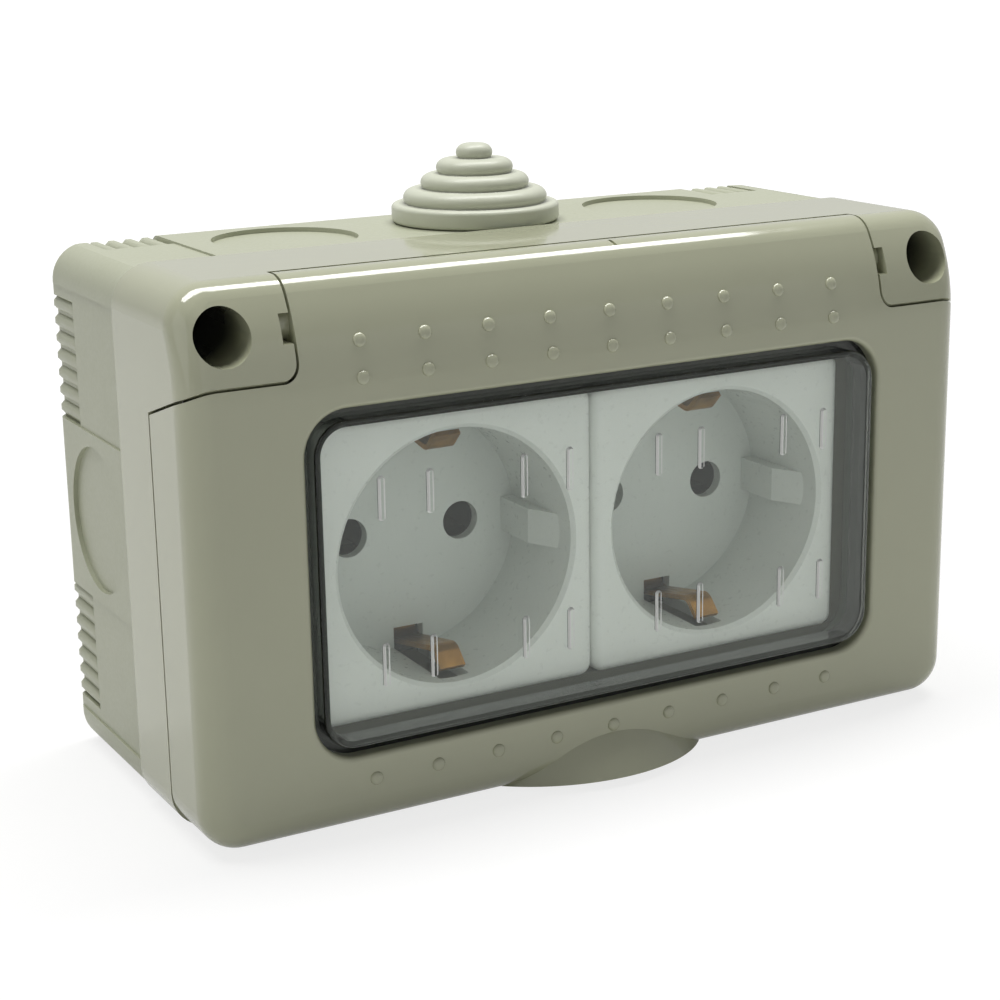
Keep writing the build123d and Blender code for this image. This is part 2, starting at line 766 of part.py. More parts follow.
inserts = {"socket_face": socket_face, "socket_base": socket_base, "earth_strap": earth_strap,
           "line_contact": line_contact, "neutral_contact": neutral_contact,
           "terminal_screws": terminal_screws}
for side, x in (("left", -socket_pitch / 2), ("right", socket_pitch / 2)):
    for name, insert in inserts.items():
        finish(Pos(x, 0, 0) * insert.part, f"{name}_{side}")
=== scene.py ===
# %% [markdown]
# A weatherproof wall socket. The solid model gives every piece its size and place, and this lesson
# gives each piece the finish that the real one has: polished and satin moulded plastic, soft rubber,
# a clear window and stamped brass. A few small rounded forms are laid over the solids as smooth
# surfaces. The first step loads the solids and gives a way to read the box of each.

# %% Load the solids
import json
import math

import bpy
import numpy as np
from mathutils import Euler, Matrix, Vector


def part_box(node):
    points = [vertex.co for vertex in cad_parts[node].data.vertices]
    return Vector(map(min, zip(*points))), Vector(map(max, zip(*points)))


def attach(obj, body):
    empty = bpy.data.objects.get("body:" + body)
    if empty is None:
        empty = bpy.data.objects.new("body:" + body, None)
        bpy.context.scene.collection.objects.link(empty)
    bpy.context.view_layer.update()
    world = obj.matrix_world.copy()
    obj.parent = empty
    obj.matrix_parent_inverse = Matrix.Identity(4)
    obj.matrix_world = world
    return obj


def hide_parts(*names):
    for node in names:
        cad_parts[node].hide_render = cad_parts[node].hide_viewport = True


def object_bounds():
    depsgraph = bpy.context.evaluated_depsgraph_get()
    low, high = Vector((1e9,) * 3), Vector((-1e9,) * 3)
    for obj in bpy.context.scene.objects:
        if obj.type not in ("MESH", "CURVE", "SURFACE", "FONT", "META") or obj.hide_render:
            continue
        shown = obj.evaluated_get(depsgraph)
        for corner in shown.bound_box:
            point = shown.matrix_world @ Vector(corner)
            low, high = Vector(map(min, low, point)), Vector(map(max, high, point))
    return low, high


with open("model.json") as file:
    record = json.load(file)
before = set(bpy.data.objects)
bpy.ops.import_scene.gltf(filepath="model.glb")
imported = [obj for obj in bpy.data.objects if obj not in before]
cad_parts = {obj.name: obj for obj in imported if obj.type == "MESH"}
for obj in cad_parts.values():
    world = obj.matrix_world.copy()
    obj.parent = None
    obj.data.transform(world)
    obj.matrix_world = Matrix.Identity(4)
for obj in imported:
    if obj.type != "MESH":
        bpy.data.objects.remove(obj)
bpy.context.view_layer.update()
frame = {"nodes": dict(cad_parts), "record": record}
MM = 0.001

# %% [markdown]
# Colours are written as sRGB hex values, the way a paint chart gives them. Shaders work in linear
# light, so one function turns a hex value into linear numbers. A second function adds one node with
# its settings and its links, so that each material reads as a recipe, and two short ones open and
# close a material. Most patterns are noise, and the last function gives the scale of one whose
# blotches have a real size. Noise lies mostly between 0.3 and 0.7, so a value that follows it is
# stretched over that span. The finishes are kept by the names of the solid model's material slots.

# %% Colours and nodes
NOISE_SPAN = {"From Min": 0.3, "From Max": 0.7}
finishes = {}


def linear(hex_code):
    """Linear RGBA of an sRGB hex code: ((c + 0.055) / 1.055) ** 2.4 for each channel c, c / 12.92 if dark."""
    share = np.array([int(hex_code[i:i + 2], 16) for i in (1, 3, 5)]) / 255
    low, high = share / 12.92, ((share + 0.055) / 1.055) ** 2.4
    return (*np.where(share <= 0.04045, low, high), 1.0)


def add(tree, kind, values=None, **settings):
    """Add a node, set its attributes, then set each input from a value, or link it from a socket or from
    the first output in use of another node."""
    node = tree.nodes.new("ShaderNode" + kind)
    for name, value in settings.items():
        setattr(node, name, value)
    for name, value in (values or {}).items():
        if isinstance(value, bpy.types.Node):
            value = next(output for output in value.outputs if output.enabled)
        if isinstance(value, bpy.types.NodeSocket):
            tree.links.new(value, node.inputs[name])
        else:
            node.inputs[name].default_value = value
    return node


def start_material(name):
    """A new material, its empty node tree, and the object coordinates in metres."""
    material = bpy.data.materials.new(name)
    material.use_nodes = True
    tree = material.node_tree
    tree.nodes.clear()
    return material, tree, add(tree, "TexCoord").outputs["Object"]


def close_material(material, shader):
    """Send the finished shader to the surface."""
    add(material.node_tree, "OutputMaterial", {"Surface": shader})
    print("material:", material.name, "nodes:", len(material.node_tree.nodes))
    return material


def blotch_scale(size_mm):
    """Scale of a noise whose blotches are about size_mm across: one over that size in metres."""
    return 1 / (size_mm * MM)


print("mid grey in linear light:", round(float(linear("#808080")[0]), 3))

# %% [markdown]
# The deep screw wells of the cover and the plate round the inserts are coloured darker than the polished
# outside: painted shade, since both lie deep inside the cover. They are part of the same moulding, so the
# shader finds them by place: the wells by their distance from the screws' axes, darker with depth, and the
# plate by its place behind the window.

# %% Painted shade in the wells and on the plate
WELL_X_MM, WELL_Z_MM, WELL_RADIUS_MM = 59.4, 33.5, 4.1
WELL_MOUTH_MM, WELL_SHADE_MM = 52.0, 46.0
PLATE_MM, PLATE_HALF_MM, PLATE_LOW_MM, PLATE_HIGH_MM = 50.0, 52.0, -31.0, 25.0


def nearness(tree, place, rear_mm, front_mm):
    """A number that runs from 0 to 1 between two distances in front of the wall."""
    y = add(tree, "SeparateXYZ", {0: place}).outputs["Y"]
    return add(tree, "MapRange", {"Value": y, "From Min": -rear_mm * MM, "From Max": -front_mm * MM})


def painted_well_shade(tree, place):
    """Where shade is painted: 1 deep in the upper screw wells and on the plate round the inserts, 0 on the
    rest. The distance from a well's axis is the root of the squares across and up."""
    x, y, z = add(tree, "SeparateXYZ", {0: place}).outputs
    beside = add(tree, "Math", {0: x}, operation="ABSOLUTE")
    from_x = add(tree, "Math", {0: beside, 1: WELL_X_MM * MM}, operation="SUBTRACT")
    from_z = add(tree, "Math", {0: z, 1: WELL_Z_MM * MM}, operation="SUBTRACT")
    square = add(tree, "Math", {0: from_z, 1: from_z}, operation="MULTIPLY")
    square = add(tree, "Math", {0: from_x, 1: from_x, 2: square}, operation="MULTIPLY_ADD")
    off_axis = add(tree, "Math", {0: square}, operation="SQRT")
    inside = add(tree, "Math", {0: off_axis, 1: WELL_RADIUS_MM * MM}, operation="LESS_THAN")
    depth = nearness(tree, place, WELL_MOUTH_MM, WELL_SHADE_MM)
    well = add(tree, "Math", {0: inside, 1: depth}, operation="MULTIPLY")
    plate = add(tree, "Math", {0: y, 1: -PLATE_MM * MM}, operation="GREATER_THAN")
    for level, test, edge_mm in ((beside, "LESS_THAN", PLATE_HALF_MM), (z, "GREATER_THAN", PLATE_LOW_MM),
                                 (z, "LESS_THAN", PLATE_HIGH_MM)):
        within = add(tree, "Math", {0: level, 1: edge_mm * MM}, operation=test)
        plate = add(tree, "Math", {0: plate, 1: within}, operation="MULTIPLY")
    return add(tree, "Math", {0: well, 1: plate}, operation="MAXIMUM")


print("upper screw wells in mm from the middle:", (WELL_X_MM, WELL_Z_MM), "radius:", WELL_RADIUS_MM)

# %% [markdown]
# The cover and the flap are ABS, injection moulded in a polished tool. The eye reads three things:
# a warm grey-green that is even but not flat, clear reflections, and a very slight waviness where the
# plastic shrank, which unsettles a long highlight. Broad noise drives the colour, fine noise the
# roughness, and two bumps of different width make the waviness. The finer one is drawn coarser than
# the real grain, so that it shows. The skin that froze against the polished steel is clearer than what
# lies under it, so it is a thin coat of the same plastic.

# %% Polished cover plastic
COVER_DARK, COVER_LIGHT, COVER_SHADE = "#ABAD93", "#B1B399", "#58594D"
ABS_IOR = 1.53
COVER_FLOW_MM, COVER_HAZE_MM = 18, 3
WAVE_MM, WAVE_DEPTH_MM = 7, 0.25
COVER_GRAIN_MM, COVER_GRAIN_DEPTH_MM = 0.5, 0.04


def polished_abs():
    material, tree, place = start_material("abs_polished")
    flow = add(tree, "TexNoise", {"Vector": place, "Scale": blotch_scale(COVER_FLOW_MM), "Detail": 2.0})
    unshaded_colour = add(tree, "Mix", {0: flow, 6: linear(COVER_DARK), 7: linear(COVER_LIGHT)}, data_type="RGBA")
    # painted shade: deep in the upper wells and on the plate behind the window the colour turns dark
    shade_share = painted_well_shade(tree, place)
    colour = add(tree, "Mix", {0: shade_share, 6: unshaded_colour, 7: linear(COVER_SHADE)}, data_type="RGBA")
    haze = add(tree, "TexNoise", {"Vector": place, "Scale": blotch_scale(COVER_HAZE_MM), "Detail": 2.0})
    gloss = add(tree, "MapRange", {"Value": haze, **NOISE_SPAN, "To Min": 0.08, "To Max": 0.13})
    shrink = add(tree, "TexNoise", {"Vector": place, "Scale": blotch_scale(WAVE_MM), "Detail": 1.0})
    wave = add(tree, "Bump", {"Height": shrink, "Strength": 0.09, "Distance": WAVE_DEPTH_MM * MM})
    grit = add(tree, "TexNoise", {"Vector": place, "Scale": blotch_scale(COVER_GRAIN_MM), "Detail": 2.0})
    grain = add(tree, "Bump", {"Height": grit, "Strength": 0.05, "Distance": COVER_GRAIN_DEPTH_MM * MM,
                               "Normal": wave})
    return close_material(material, add(tree, "BsdfPrincipled", {
        "Base Color": colour, "Roughness": gloss, "IOR": ABS_IOR, "Normal": grain,
        "Coat Weight": 0.3, "Coat Roughness": 0.06, "Coat IOR": ABS_IOR, "Coat Normal": wave}))


finishes["cover_plastic"] = polished_abs()

# %% [markdown]
# The back box is the same plastic from a tool with a satin finish, so its highlights are wide and soft
# and a fine grain shows at close range. The grain is drawn coarser than the real one, so that it shows.

# %% Satin box plastic
BOX_DARK, BOX_LIGHT = "#AAAD96", "#B0B39D"
BOX_FLOW_MM, BOX_GRAIN_MM, BOX_GRAIN_DEPTH_MM = 15, 0.6, 0.06


def satin_abs():
    material, tree, place = start_material("abs_satin")
    flow = add(tree, "TexNoise", {"Vector": place, "Scale": blotch_scale(BOX_FLOW_MM), "Detail": 2.0})
    colour = add(tree, "Mix", {0: flow, 6: linear(BOX_DARK), 7: linear(BOX_LIGHT)}, data_type="RGBA")
    speckle = add(tree, "TexNoise", {"Vector": place, "Scale": blotch_scale(BOX_GRAIN_MM), "Detail": 4.0})
    gloss = add(tree, "MapRange", {"Value": speckle, **NOISE_SPAN, "To Min": 0.34, "To Max": 0.46})
    grain = add(tree, "Bump", {"Height": speckle, "Strength": 0.18, "Distance": BOX_GRAIN_DEPTH_MM * MM})
    return close_material(material, add(tree, "BsdfPrincipled", {
        "Base Color": colour, "Roughness": gloss, "IOR": ABS_IOR, "Normal": grain}))


finishes["box_plastic"] = satin_abs()

# %% [markdown]
# The two socket inserts are white polycarbonate. It is smooth and a little translucent, and its colour
# turns darker towards the floor of the deep recess: painted shade. The base behind each insert is coloured
# dark slate grey, which paints the shade inside the pin holes. Both come from one recipe: the tone
# follows the depth, with a share of soft cloud in it.

# %% Insert plastics
FACE_MM, RECESS_FLOOR_MM = 51.0, 33.5
CLOUD_MM, CLOUD_SHARE = 9, 0.2
INSERT_GRAIN_MM, INSERT_GRAIN_DEPTH_MM = 0.8, 0.05
INSERT_IOR, GLOW_DEPTH_MM, GLOW_SPREAD = 1.58, 0.8, (1.0, 1.0, 0.9)


def insert_plastic(name, deep, front, rough_low, rough_high, glow):
    """Plastic with one tone at the recess floor, darker as painted shade, and one at the face, and a share of
    light under its skin.
    """
    material, tree, place = start_material(name)
    near = nearness(tree, place, RECESS_FLOOR_MM, FACE_MM)
    near_part = add(tree, "Math", {0: near, 1: 1 - CLOUD_SHARE}, operation="MULTIPLY")
    cloud = add(tree, "TexNoise", {"Vector": place, "Scale": blotch_scale(CLOUD_MM), "Detail": 2.0})
    tone = add(tree, "Math", {0: cloud, 1: CLOUD_SHARE, 2: near_part}, operation="MULTIPLY_ADD")
    colour = add(tree, "Mix", {0: tone, 6: linear(deep), 7: linear(front)}, data_type="RGBA")
    fine = add(tree, "TexNoise", {"Vector": place, "Scale": blotch_scale(INSERT_GRAIN_MM), "Detail": 3.0})
    gloss = add(tree, "MapRange", {"Value": fine, **NOISE_SPAN, "To Min": rough_low, "To Max": rough_high})
    grain = add(tree, "Bump", {"Height": fine, "Strength": 0.06, "Distance": INSERT_GRAIN_DEPTH_MM * MM})
    return close_material(material, add(tree, "BsdfPrincipled", {
        "Base Color": colour, "Roughness": gloss, "IOR": INSERT_IOR, "Normal": grain,
        "Subsurface Weight": glow, "Subsurface Radius": GLOW_SPREAD, "Subsurface Scale": GLOW_DEPTH_MM * MM}))


# painted shade: the inserts darken towards the recess floor, and the base is dark so that the pin holes read
# dark
finishes["insert_plastic"] = insert_plastic("polycarbonate_white", "#D0D4D0", "#F4F6F2", 0.26, 0.36, 0.1)
finishes["base_plastic"] = insert_plastic("thermoset_slate", "#1C2529", "#222B30", 0.45, 0.55, 0.0)

# %% [markdown]
# The window is clear polycarbonate, moulded in one piece, and it refracts as a solid with the IOR of
# polycarbonate. Three places differ from the clear face. The side walls and the flange are tinted dark
# grey: painted shade of the cover's opening and its seal, which lie behind them. The flanks and the ends
# of the small ribs get a pale, rough shader: painted highlights, which show as thin pale lines. The
# shader finds the side walls and the ends of the ribs by the way their surface faces, and the flanks by
# their distance from the middle of a rib.

# %% Painted shade on the walls and painted highlights on the ribs
PANE_FRONT_MM, WALL_FRONT_MM, FLANGE_FRONT_MM = 57.4, 56.9, 54.8
FLANK_FOOT_MM, END_FOOT_MM = PANE_FRONT_MM + 0.06, PANE_FRONT_MM + 0.02
SOCKET_X_MM, RIB_PITCH_MM, RIB_CLEAR_MM = 22.9, 7.6, 0.2
WALL_FACING, END_TILT, HIGHLIGHT_SHARE = 0.8, 0.3, 0.85


def painted_shade_places(tree, y, facing):
    """1 on the side walls behind the face and on the flange, where shade is painted, 0 on the rest of the
    window.
    """
    turned = add(tree, "Math", {0: facing}, operation="ABSOLUTE")
    side = add(tree, "Math", {0: turned, 1: WALL_FACING}, operation="LESS_THAN")
    behind = add(tree, "Math", {0: y, 1: -WALL_FRONT_MM * MM}, operation="GREATER_THAN")
    wall = add(tree, "Math", {0: side, 1: behind}, operation="MULTIPLY")
    flange = add(tree, "Math", {0: y, 1: -FLANGE_FRONT_MM * MM}, operation="GREATER_THAN")
    return add(tree, "Math", {0: wall, 1: flange}, operation="MAXIMUM")


def satin_highlight_places(tree, x, y, upward):
    """The share of painted highlight on the flanks and the ends of the ribs, 0 on the rest of the window. The
    distance from the middle of a rib swings up and down once in each pitch."""
    beside = add(tree, "Math", {0: x}, operation="ABSOLUTE")
    from_socket = add(tree, "Math", {0: beside, 1: SOCKET_X_MM * MM}, operation="SUBTRACT")
    from_rib = add(tree, "Math", {0: from_socket, 1: RIB_PITCH_MM / 2 * MM}, operation="PINGPONG")
    edge = add(tree, "Math", {0: from_rib, 1: RIB_CLEAR_MM * MM}, operation="GREATER_THAN")
    raised = add(tree, "Math", {0: y, 1: -FLANK_FOOT_MM * MM}, operation="LESS_THAN")
    flank = add(tree, "Math", {0: edge, 1: raised}, operation="MULTIPLY")
    slope = add(tree, "Math", {0: upward}, operation="ABSOLUTE")
    tilted = add(tree, "Math", {0: slope, 1: END_TILT}, operation="GREATER_THAN")
    proud = add(tree, "Math", {0: y, 1: -END_FOOT_MM * MM}, operation="LESS_THAN")
    end = add(tree, "Math", {0: tilted, 1: proud}, operation="MULTIPLY")
    line = add(tree, "Math", {0: flank, 1: end}, operation="MAXIMUM")
    return add(tree, "Math", {0: line, 1: HIGHLIGHT_SHARE}, operation="MULTIPLY")


print("rib pitch in mm:", RIB_PITCH_MM, "from the middle of each socket at", SOCKET_X_MM)

# %% [markdown]
# A pane passes light from ahead and mirrors light that only grazes it. The rays that look for lamps go
# straight through it with that share, one part lost at each face. A moulded face mirrors a little less
# than a polished plate, so its mirror image is toned down.

# %% Clear window plastic
PANE_CLEAR, PANE_SHADE, PANE_MIRROR, RIB_HIGHLIGHT = "#F8FCF8", "#80837E", "#CBCECA", "#FAFBF9"
POLYCARBONATE_IOR = 1.585
PANE_HAZE_MM = 2.5


def clear_polycarbonate():
    material, tree, place = start_material("polycarbonate_clear")
    x, y, _ = add(tree, "SeparateXYZ", {0: place}).outputs
    normal = add(tree, "TexCoord").outputs["Normal"]
    _, facing, upward = add(tree, "SeparateXYZ", {0: normal}).outputs
    wall_shade = painted_shade_places(tree, y, facing)
    # painted shade: the side walls and the flange take a dark grey tint
    tint = add(tree, "Mix", {0: wall_shade, 6: linear(PANE_CLEAR), 7: linear(PANE_SHADE)}, data_type="RGBA")
    haze = add(tree, "TexNoise", {"Vector": place, "Scale": blotch_scale(PANE_HAZE_MM), "Detail": 3.0})
    gloss = add(tree, "MapRange", {"Value": haze, **NOISE_SPAN, "To Min": 0.0, "To Max": 0.03})
    clear = add(tree, "BsdfPrincipled", {
        "Base Color": tint, "Roughness": gloss, "IOR": POLYCARBONATE_IOR,
        "Transmission Weight": 1.0, "Specular Tint": linear(PANE_MIRROR)})
    # painted highlight: a pale rough shader on the flanks and ends of the ribs
    satin_highlight = add(tree, "BsdfPrincipled", {
        "Base Color": linear(RIB_HIGHLIGHT), "Roughness": 0.35, "IOR": POLYCARBONATE_IOR})
    solid = add(tree, "MixShader", {0: satin_highlight_places(tree, x, y, upward), 1: clear, 2: satin_highlight})

    mirrored = add(tree, "Fresnel", {"IOR": POLYCARBONATE_IOR})
    passed = add(tree, "Math", {0: 1.0, 1: mirrored}, operation="SUBTRACT")
    straight = add(tree, "BsdfTransparent", {"Color": passed})
    to_lamps = add(tree, "LightPath").outputs["Is Shadow Ray"]
    return close_material(material, add(tree, "MixShader", {0: to_lamps, 1: solid, 2: straight}))


finishes["window_plastic"] = clear_polycarbonate()

# %% [markdown]
# Three rubbers: a soft pale grommet, moulded in a satin tool, a blue-grey ring that shows only as a thin
# line between box and cover, and a ring behind the window whose dark colour is painted shade of the
# cover's inside. Rubber scatters light, so all are rough with a low sheen. The pores are drawn coarser
# than the real ones, so that they show.

# %% Rubbers
RUBBER_IOR, BLOOM_MM, ROUGH_SPREAD = 1.5, 5, 0.06


def rubber(name, dark, light, rough, pore_mm, pore_depth_mm):
    """Rubber with a cloudy bloom of two tones, and pores that are pore_mm across."""
    material, tree, place = start_material(name)
    bloom = add(tree, "TexNoise", {"Vector": place, "Scale": blotch_scale(BLOOM_MM), "Detail": 2.0})
    colour = add(tree, "Mix", {0: bloom, 6: linear(dark), 7: linear(light)}, data_type="RGBA")
    pores = add(tree, "TexNoise", {"Vector": place, "Scale": blotch_scale(pore_mm), "Detail": 4.0})
    gloss = add(tree, "MapRange", {"Value": pores, **NOISE_SPAN,
                                   "To Min": rough - ROUGH_SPREAD, "To Max": rough + ROUGH_SPREAD})
    skin = add(tree, "Bump", {"Height": pores, "Strength": 0.25, "Distance": pore_depth_mm * MM})
    return close_material(material, add(tree, "BsdfPrincipled", {
        "Base Color": colour, "Roughness": gloss, "IOR": RUBBER_IOR, "Normal": skin,
        "Sheen Weight": 0.08, "Sheen Roughness": 0.5}))


finishes["seal_rubber"] = rubber("rubber_seal", "#8A9690", "#97A29C", 0.75, 0.4, 0.05)
finishes["grommet_rubber"] = rubber("rubber_soft", "#C2C5B2", "#CACDBB", 0.4, 0.5, 0.02)
# painted shade: the ring behind the window is coloured dark
shade_dark_rubber = rubber("rubber_painted_shade", "#565D52", "#60675B", 0.75, 0.4, 0.05)

# %% [markdown]
# Earth clips are stamped brass strip: rolled, so fine streaks run along it. The colour is darker towards
# the wall, painted shade deep in the recess, and lighter in patches at the sprung noses, which plugs rub
# bright. The contacts behind the pin holes are the same strip with a tin plating, coloured dark blue-grey
# as painted shade in the depth of the holes. Terminal screws are zinc-plated steel, which is pale, and the
# long cover screws are coloured near black, as painted shade at the bottom of their wells.

# %% Metals
NOSE_REAR_MM, NOSE_FRONT_MM, RUBBED_MM = 36.0, 43.0, 3.0
STREAK_DEPTH_MM, STREAK_STRETCH = 0.03, (1.0, 0.12, 1.0)


def rolled_metal(name, dark, light, rough_low, rough_high, streak_mm):
    """Metal that is dark towards the wall, as painted shade, and light at the rubbed nose, with streaks that
    are streak_mm wide.
    """
    material, tree, place = start_material(name)
    nose = nearness(tree, place, NOSE_REAR_MM, NOSE_FRONT_MM)
    patches = add(tree, "TexNoise", {"Vector": place, "Scale": blotch_scale(RUBBED_MM), "Detail": 2.0})
    rubbed_and_lit = add(tree, "Math", {0: patches, 1: nose}, operation="MULTIPLY")
    # painted shade and wear: darker towards the wall, lighter in rubbed patches at the nose
    colour = add(tree, "Mix", {0: rubbed_and_lit, 6: linear(dark), 7: linear(light)}, data_type="RGBA")
    along = add(tree, "Mapping", {"Vector": place, "Scale": STREAK_STRETCH})
    streak = add(tree, "TexNoise", {"Vector": along, "Scale": blotch_scale(streak_mm), "Detail": 3.0})
    gloss = add(tree, "MapRange", {"Value": streak, **NOISE_SPAN, "To Min": rough_low, "To Max": rough_high})
    rolled = add(tree, "Bump", {"Height": streak, "Strength": 0.2, "Distance": STREAK_DEPTH_MM * MM})
    return close_material(material, add(tree, "BsdfPrincipled", {
        "Base Color": colour, "Metallic": 1.0, "Roughness": gloss, "Normal": rolled}))


finishes["brass"] = rolled_metal("brass_stamped", "#6E4C1E", "#D9A257", 0.28, 0.42, 0.6)
finishes["plated_steel"] = rolled_metal("steel_zinc_plated", "#A9ADB0", "#C3C7CA", 0.3, 0.42, 0.5)
# painted shade: the contacts are coloured dark blue-grey so that the pin holes read dark
shade_dark_contact_metal = rolled_metal("brass_contact_painted_shade", "#242D33", "#38434B", 0.4, 0.5, 0.6)
# painted shade: the cover screws are coloured near black, which darkens the bottom of their wells
shade_dark_screw_steel = rolled_metal("steel_painted_shade", "#2B2D2E", "#3A3C3D", 0.4, 0.5, 0.5)

# %% [markdown]
# The record gives every solid a material slot, and the slot decides the finish. Some pieces share a slot
# with others and are given a darker finish here as painted shade: the contacts behind the pin holes, the
# cover screws at the bottom of their wells, and the ring behind the window. They are named here.

# %% Give every solid its finish
own_finish = {"cover_screws": shade_dark_screw_steel, "flap_seal": shade_dark_rubber}
for side in ("left", "right"):
    for pole in ("line", "neutral"):
        own_finish[f"{pole}_contact_{side}"] = shade_dark_contact_metal
for row in frame["record"]["subparts"]:
    solid = frame["nodes"][row["node"]]
    solid.data.materials.clear()
    solid.data.materials.append(own_finish.get(row["node"], finishes[row["material_slot"]]))
print("solids with the finish of their slot:", len(frame["nodes"]) - len(own_finish))

# %% [markdown]
# New forms are surfaces on a grid of two parameters. The function below turns grids of points into one
# mesh. A grid is joined to itself along its second parameter, and its first and last rows are poles,
# where the whole row is one point: there the row is kept once and the faces are triangles.

# %% Mesh from grids
def closed_grids(name, grids, slot, body):
    """One mesh from an array of grids with shape (count, rows, turns, 3). Each grid closes round its turns
    and ends in a pole at its first and last row."""
    count, rows, turns, _ = grids.shape
    inner = grids[:, 1:-1].reshape(count, -1, 3)
    points = np.concatenate([grids[:, :1, 0], inner, grids[:, -1:, 0]], axis=1)
    ring = np.arange(turns)
    after = np.roll(ring, -1)
    first = 1 + np.arange(rows - 3)[:, None] * turns
    quads = np.stack([first + ring, first + after, first + turns + after, first + turns + ring], -1)
    last = 1 + (rows - 3) * turns
    bottom = np.stack([np.zeros_like(ring), 1 + after, 1 + ring], -1)
    roof = np.stack([np.full_like(ring, last + turns), last + ring, last + after], -1)
    shift = (np.arange(count) * points.shape[1])[:, None, None]
    faces = (quads.reshape(-1, 4) + shift).reshape(-1, 4).tolist()
    faces += (np.concatenate([bottom, roof]) + shift).reshape(-1, 3).tolist()
    mesh = bpy.data.meshes.new(name)
    mesh.from_pydata(points.reshape(-1, 3).tolist(), [], faces)
    mesh.polygons.foreach_set("use_smooth", np.ones(len(mesh.polygons), bool))
    mesh.materials.append(finishes[slot])
    piece = bpy.data.objects.new(name, mesh)
    bpy.context.scene.collection.objects.link(piece)
    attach(piece, body)
    print(name, "pieces:", count, "faces:", len(mesh.polygons))
    return piece


# %% [markdown]
# The grommet is a soft stepped cone, one bead on another, that is cut to fit the cable. It is turned from
# one outline, and the outlines of its steps come first. Each bead is part of an ellipse, so neighbours
# meet in a thin dark valley, and the flange is a band with rounded rims.

# %% Steps of the grommet
BEAD_BULGE, BEAD_UPPER, BEAD_START_DEG = 0.75, 0.62, -38
BEAD_STEPS, BAND_STEPS = 14, 16


def bead(radius, level, rise):
    """Outline of one bead, part of an ellipse: r = radius - bulge (1 - cos t) and z = middle + upper sin t,
    where bulge and upper are shares of the rise."""
    t = np.linspace(math.radians(BEAD_START_DEG), math.radians(90), BEAD_STEPS)
    bulge, upper = BEAD_BULGE * rise, BEAD_UPPER * rise
    middle = level + rise - upper
    return np.stack([radius - bulge * (1 - np.cos(t)), middle + upper * np.sin(t)], -1)


def rounded_band(radius, level, rise, edge):
    """Outline of a band with a quarter circle of radius edge at its lower and upper rim."""
    t = np.linspace(-math.pi / 2, math.pi / 2, BAND_STEPS)
    z = np.where(t < 0, level + edge, level + rise - edge)
    return np.stack([radius - edge + edge * np.cos(t), z + edge * np.sin(t)], -1)


print("points in a bead:", BEAD_STEPS, "and in a band:", BAND_STEPS)

# %% [markdown]
# The whole outline runs from the roof of the hollow down inside, out under the collar, up the neck and
# over the flange and the beads to the tip, and is carried round the axis of the solid grommet. The
# flange stands a hair above the box, so that the two faces don't coincide.

# %% Grommet
FLANGE, FLANGE_HEIGHT, FLANGE_EDGE, FLANGE_LIFT = 13.3, 2.9, 0.7, 0.1
BEADS = ((11.4, 2.3), (8.6, 2.3), (6.1, 2.3), (2.9, 2.3))
BORE, HOLLOW_TIP, HOLLOW_HEIGHT, TIP_CROWN = 8.4, 2.8, 8.3, 0.05
NECK, COLLAR, NECK_DROP, COLLAR_DROP = 9.9, 11.2, 2.4, 4.2
GROMMET_TURNS = 144
low, high = (np.array(corner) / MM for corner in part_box("cable_grommet"))
axis_x, axis_y = (low[:2] + high[:2]) / 2
foot = low[2] + COLLAR_DROP + FLANGE_LIFT
collar_top = foot - NECK_DROP - FLANGE_LIFT
inside = [(0.0, foot + HOLLOW_HEIGHT), (HOLLOW_TIP, foot + HOLLOW_HEIGHT), (BORE, foot), (BORE, low[2])]
below = [(COLLAR, low[2]), (COLLAR, collar_top), (NECK, collar_top), (NECK, foot)]
outline = [np.array(inside + below), rounded_band(FLANGE, foot, FLANGE_HEIGHT, FLANGE_EDGE)]
level = foot + FLANGE_HEIGHT
for radius, rise in BEADS:
    outline.append(bead(radius, level, rise))
    level += rise
outline.append(np.array([(0.0, level + TIP_CROWN)]))
outline = np.concatenate(outline)
turn = np.linspace(0, 2 * math.pi, GROMMET_TURNS, endpoint=False)
grid = np.stack([axis_x + outline[:, :1] * np.cos(turn), axis_y + outline[:, :1] * np.sin(turn),
                 np.broadcast_to(outline[:, 1:], (len(outline), len(turn)))], -1)
grommet = closed_grids("grommet_beads", grid[None] * MM, "grommet_rubber", "housing")
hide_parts("cable_grommet")

# %% [markdown]
# Grip flutes run along the rear edges of the box as half-round bars between narrow grooves. Each bar is
# a long superellipse turned round its own axis, which gives it a straight back and softly rounded ends.
# Seven stand at each end of the left and right sides, and four at each end of the top and the bottom.

# %% Grip flutes
FLUTE_RADIUS, FLUTE_PITCH, RELIEF = 1.17, 2.7, 0.3
FLUTE_REAR, FLUTE_FRONT, FLATNESS = 0.6, 10.4, 0.2
SIDE_START, SIDE_FLUTES, TOP_START, TOP_FLUTES = 13.25, 7, 48.5, 4
FLUTE_ROWS, FLUTE_TURNS = 25, 32


